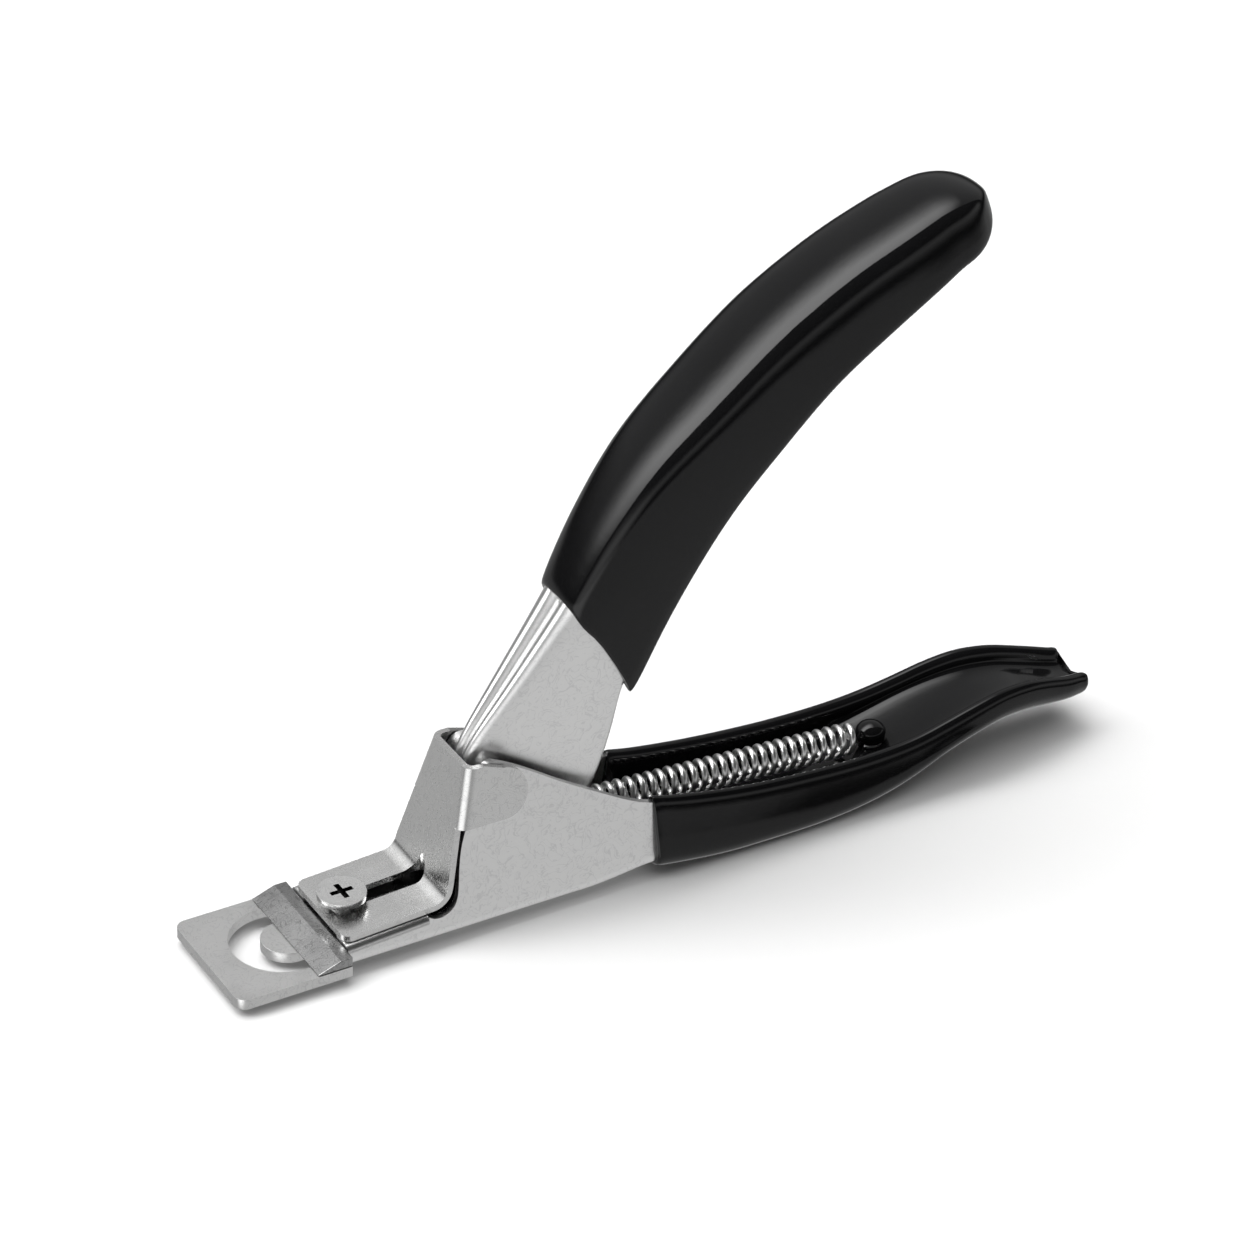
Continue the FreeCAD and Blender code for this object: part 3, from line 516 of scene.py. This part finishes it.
def springPath():
    (startX, startZ), (endX, endZ) = returnSpring["start"], returnSpring["end"]
    length = math.hypot(endX - startX, endZ - startZ)
    alongX, alongZ = (endX - startX) / length, (endZ - startZ) / length
    pinX, pinZ, pinRadius = returnSpring["pin"]
    anchorX, anchorZ, anchorRadius = returnSpring["anchor"]
    turns = returnSpring["turns"]
    path = [(pinX + pinRadius * math.cos(a), 0.012 * i, pinZ + pinRadius * math.sin(a))
            for i, a in enumerate(np.radians(np.linspace(*returnSpring["hookTurn"])))]
    steps = turns * returnSpring["stepsPerTurn"]
    for i in range(steps + 1):
        t = i / steps
        a = 2 * math.pi * turns * t
        out = returnSpring["coilRadius"] * min(1.0, returnSpring["endCurl"] + 4 * min(t, 1 - t) * turns)
        y, up = out * math.cos(a), -out * math.sin(a)
        path.append((startX + alongX * length * t - alongZ * up, y, startZ + alongZ * length * t + alongX * up))
    path += [(anchorX - anchorRadius * math.cos(a), anchorRadius * math.sin(a), anchorZ)
             for a in np.radians(np.linspace(*returnSpring["ringTurn"]))]
    return path


def tubeRings(path, radius, sides):
    points = [spot(*p) for p in path]
    rings = []
    lead = Vector((0, 1, 0))
    for i, point in enumerate(points):
        along = (points[min(i + 1, len(points) - 1)] - points[max(i - 1, 0)]).normalized()
        lead = (lead - along * lead.dot(along)).normalized()
        side = along.cross(lead)
        turns = [2 * math.pi * k / sides for k in range(sides)]
        rings.append([point + (lead * math.cos(a) + side * math.sin(a)) * radius * mm for a in turns])
    return rings


def makeReturnSpring():
    wire = skin(tubeRings(springPath(), returnSpring["wireRadius"], returnSpring["sides"]), springWire)
    spring = newPiece("returnSpringWire", wire, None, "return_spring")
    (startX, startZ), (endX, endZ) = returnSpring["start"], returnSpring["end"]
    spot(endX, 0, endZ)
    spot(startX, 0, startZ)
    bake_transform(spring)


makeUpperGrip()
makeUpperHandle()
makeLowerGrip()
makeReturnSpring()
print("grips, upper handle and spring")


# the view is from the front left, a little above
cameraSet = {
    "azimuth": -31.88,
    "elevation": 32.89,
    "roll": 2.35,
    "distance": 632.9,
    "right": 56.7,
    "up": 45.2,
    "lens": 135,
    "sensor": 36,
}


def makeCamera():
    a, e, roll = (math.radians(cameraSet[k]) for k in ("azimuth", "elevation", "roll"))
    right = Vector((math.cos(a), math.sin(a), 0))
    back = Vector((math.sin(a) * math.cos(e), -math.cos(a) * math.cos(e), math.sin(e)))
    up = back.cross(right)
    turnedRight = right * math.cos(roll) + up * math.sin(roll)
    turnedUp = up * math.cos(roll) - right * math.sin(roll)
    place = turnedRight * cameraSet["right"] + turnedUp * cameraSet["up"] + back * cameraSet["distance"]
    camera = bpy.data.objects.new("camera", bpy.data.cameras.new("camera"))
    scene.collection.objects.link(camera)
    rows = Matrix((turnedRight, turnedUp, back)).transposed().to_4x4()
    rows.translation = spot(*place)
    camera.matrix_world = rows
    camera.data.lens = cameraSet["lens"]
    camera.data.sensor_width = cameraSet["sensor"]
    camera.data.clip_start = 0.01
    camera.data.clip_end = 50
    scene.camera = camera


# the studio is painted on the sky: a long scrim overhead, a soft front band, a pale table, a low side window
lightSet = {
    "hotSpot": (-0.42, 0.38, 0.82),    # where the big scrim overhead is brightest
    "hotPower": 8.5,
    "hotReach": (0.60, 0.99),          # cosine from the hot spot: no glow, full glow
    "hotFade": (0.36, 0.70),           # the glow fades towards the back
    "scrimPower": 0.55,
    "scrimEdge": (0.035, 0.055),       # the scrim's front edge runs straight over the tool
    "scrimFoot": (0.02, 0.35),         # it fades towards the horizon
    "frontPower": 0.95,
    "frontBand": (0.24, 0.24),         # middle and spread, as heights of the direction
    "tableFront": 0.80,                # what the tool's underside and walls see below the horizon
    "tableBack": 0.62,
    "sideGlow": (-0.82, -0.52, -0.24), # the low window's direction
    "sidePower": 1.7,
    "sideReach": (0.82, 0.98),
    "room": 0.03,
    "backdrop": 1.0,
    "fillPlace": (0.0, 0.05, 1.1),
    "fillSize": 1.9,
    "fillPower": 15.0,
}


def makeWorld():
    world = bpy.data.worlds.new("studio")
    world.use_nodes = True
    tree = world.node_tree
    tree.nodes.clear()
    look = Wire(tree, tree.nodes.new("ShaderNodeTexCoord").outputs["Generated"])
    across, height = look.towards((0, 1, 0)), look.towards((0, 0, 1))
    scrim = across.between(*lightSet["scrimEdge"]) * height.between(*lightSet["scrimFoot"])
    glow = look.towards(Vector(lightSet["hotSpot"]).normalized()).between(*lightSet["hotReach"])
    glow = glow * (1 - across.between(*lightSet["hotFade"]))
    middle, spread = lightSet["frontBand"]
    front = (1 - ((height - middle).maths("ABSOLUTE")).between(0, spread)) * (1 - across.between(-0.25, 0.0))
    back = across.between(-0.1, 0.1)
    table = (1 - height.between(-0.14, -0.02)) * (
        lightSet["tableFront"] + back * (lightSet["tableBack"] - lightSet["tableFront"]))
    total = scrim * (glow * lightSet["hotPower"] + lightSet["scrimPower"]) + front * lightSet["frontPower"]
    window = look.towards(Vector(lightSet["sideGlow"]).normalized()).between(*lightSet["sideReach"])
    total = total + table + window * lightSet["sidePower"] + lightSet["room"]
    light = look.node("ShaderNodeBackground", {}, {"Strength": total})
    plain = look.node("ShaderNodeBackground", {}, {"Strength": lightSet["backdrop"]})
    seen = look.node("ShaderNodeLightPath")
    both = look.node("ShaderNodeMixShader", {}, {0: seen, 1: light, 2: plain})
    look.node("ShaderNodeOutputWorld", {}, {"Surface": both}, None)
    scene.world = world


def makeFill():    # evens out the floor and its soft shadow, and doesn't show in reflections
    lamp = bpy.data.lights.new("fill", "AREA")
    lamp.shape = "DISK"
    lamp.size = lightSet["fillSize"]
    lamp.energy = lightSet["fillPower"]
    fill = bpy.data.objects.new("fill", lamp)
    scene.collection.objects.link(fill)
    fill.location = lightSet["fillPlace"]
    fill.visible_glossy = False


paleFloor = {"reach": 6.0, "dark": (0.575, 0.575, 0.575, 1), "light": (0.595, 0.595, 0.595, 1)}


def makeFloor():
    mesh = bpy.data.meshes.new("floor")
    reach = paleFloor["reach"]
    mesh.from_pydata([(-reach, -reach, 0), (reach, -reach, 0), (reach, reach, 0), (-reach, reach, 0)],
                     [], [(0, 1, 2, 3)])
    floor = bpy.data.objects.new("floor", mesh)
    scene.collection.objects.link(floor)
    material, shader, place = newMaterial("paleFloor")
    cloud = place.noise(6, 2.0)
    connect(shader, {
        "Base Color": cloud.blend(paleFloor["dark"], paleFloor["light"]),
        "Roughness": 0.55 + cloud * 0.1,
        "Specular IOR Level": 0.2,
    })
    mesh.materials.append(material)
    floor.visible_glossy = False    # the metal and vinyl reflect the painted table instead


makeCamera()
makeWorld()
makeFill()
makeFloor()
scene.view_settings.view_transform = "Standard"
print("camera, light and floor")
